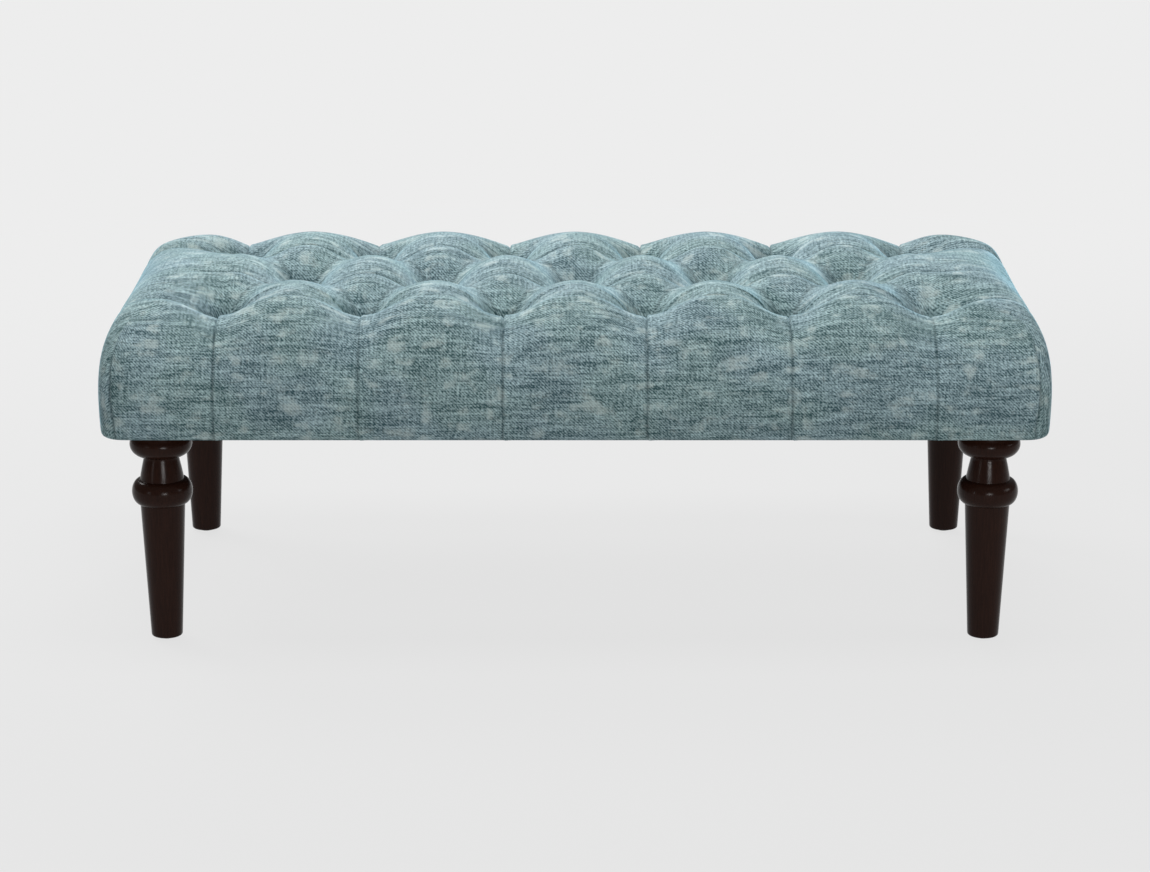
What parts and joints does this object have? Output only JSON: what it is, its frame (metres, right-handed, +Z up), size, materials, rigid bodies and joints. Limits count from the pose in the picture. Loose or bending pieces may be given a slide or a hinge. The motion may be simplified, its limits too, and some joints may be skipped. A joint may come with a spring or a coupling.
{
  "type": "buttoned footstool",
  "caption": "Long low footstool: a deep-buttoned fabric pad on a timber frame, standing on dark turned legs that screw in.",
  "frame": {"origin": "on the floor, under the middle of the stool", "axes": "+X along the stool's length to the right, +Y to the back, +Z up"},
  "size_m": [1.219, 0.61, 0.457],
  "materials": {
    "fabric": "matte",
    "wadding": "matte",
    "foam": "matte",
    "plywood": "matte",
    "timber": "matte",
    "lacquered_wood": "satin",
    "steel": "satin",
    "glide_plastic": "satin",
    "dust_cloth": "matte",
    "twine": "matte"
  },
  "bodies": {
    "frame": {"cover": "fabric", "wadding": "wadding", "foam_pad": "foam", "deck_board": "plywood", "front_rail": "timber", "back_rail": "timber", "left_end_rail": "timber", "right_end_rail": "timber", "left_cross_bearer": "timber", "right_cross_bearer": "timber", "dust_cover": "dust_cloth", "left_tufting_twine": "twine", "centre_tufting_twine": "twine", "right_tufting_twine": "twine", "button_row_1_1": "fabric", "button_row_1_2": "fabric", "button_row_1_3": "fabric", "button_row_1_4": "fabric", "button_row_1_5": "fabric", "button_row_1_6": "fabric", "button_row_2_1": "fabric", "button_row_2_2": "fabric", "button_row_2_3": "fabric", "button_row_2_4": "fabric", "button_row_2_5": "fabric", "button_row_3_1": "fabric", "button_row_3_2": "fabric", "button_row_3_3": "fabric", "button_row_3_4": "fabric", "button_row_3_5": "fabric", "button_row_3_6": "fabric", "front_left_corner_block": "timber", "front_left_t_nut": "steel", "front_right_corner_block": "timber", "front_right_t_nut": "steel", "back_left_corner_block": "timber", "back_left_t_nut": "steel", "back_right_corner_block": "timber", "back_right_t_nut": "steel"},
    "front_left_bolt": {"front_left_hanger_bolt": "steel"},
    "front_left_leg": {"front_left_leg": "lacquered_wood", "front_left_glide": "glide_plastic"},
    "front_right_bolt": {"front_right_hanger_bolt": "steel"},
    "front_right_leg": {"front_right_leg": "lacquered_wood", "front_right_glide": "glide_plastic"},
    "back_left_bolt": {"back_left_hanger_bolt": "steel"},
    "back_left_leg": {"back_left_leg": "lacquered_wood", "back_left_glide": "glide_plastic"},
    "back_right_bolt": {"back_right_hanger_bolt": "steel"},
    "back_right_leg": {"back_right_leg": "lacquered_wood", "back_right_glide": "glide_plastic"}
  },
  "joints": [
    {"name": "front_left_leg_travel", "type": "slide", "parent": "frame", "child": "front_left_bolt", "axis": [0, 0, -1], "range_m": [0, 0.011]},
    {"name": "front_left_leg_turn", "type": "hinge", "parent": "front_left_bolt", "child": "front_left_leg", "pos_m": [-0.535, -0.242, 0.2806], "axis": [0, 0, -1], "range_deg": [0, 3160]},
    {"name": "front_right_leg_travel", "type": "slide", "parent": "frame", "child": "front_right_bolt", "axis": [0, 0, -1], "range_m": [0, 0.011]},
    {"name": "front_right_leg_turn", "type": "hinge", "parent": "front_right_bolt", "child": "front_right_leg", "pos_m": [0.535, -0.242, 0.2806], "axis": [0, 0, -1], "range_deg": [0, 3160]},
    {"name": "back_left_leg_travel", "type": "slide", "parent": "frame", "child": "back_left_bolt", "axis": [0, 0, -1], "range_m": [0, 0.011]},
    {"name": "back_left_leg_turn", "type": "hinge", "parent": "back_left_bolt", "child": "back_left_leg", "pos_m": [-0.535, 0.242, 0.2806], "axis": [0, 0, -1], "range_deg": [0, 3160]},
    {"name": "back_right_leg_travel", "type": "slide", "parent": "frame", "child": "back_right_bolt", "axis": [0, 0, -1], "range_m": [0, 0.011]},
    {"name": "back_right_leg_turn", "type": "hinge", "parent": "back_right_bolt", "child": "back_right_leg", "pos_m": [0.535, 0.242, 0.2806], "axis": [0, 0, -1], "range_deg": [0, 3160]}
  ],
  "couplings": [
    {"joint": "front_left_leg_travel", "follows": "front_left_leg_turn", "m_per_rad": 0.00019894},
    {"joint": "front_right_leg_travel", "follows": "front_right_leg_turn", "m_per_rad": 0.00019894},
    {"joint": "back_left_leg_travel", "follows": "back_left_leg_turn", "m_per_rad": 0.00019894},
    {"joint": "back_right_leg_travel", "follows": "back_right_leg_turn", "m_per_rad": 0.00019894}
  ]
}
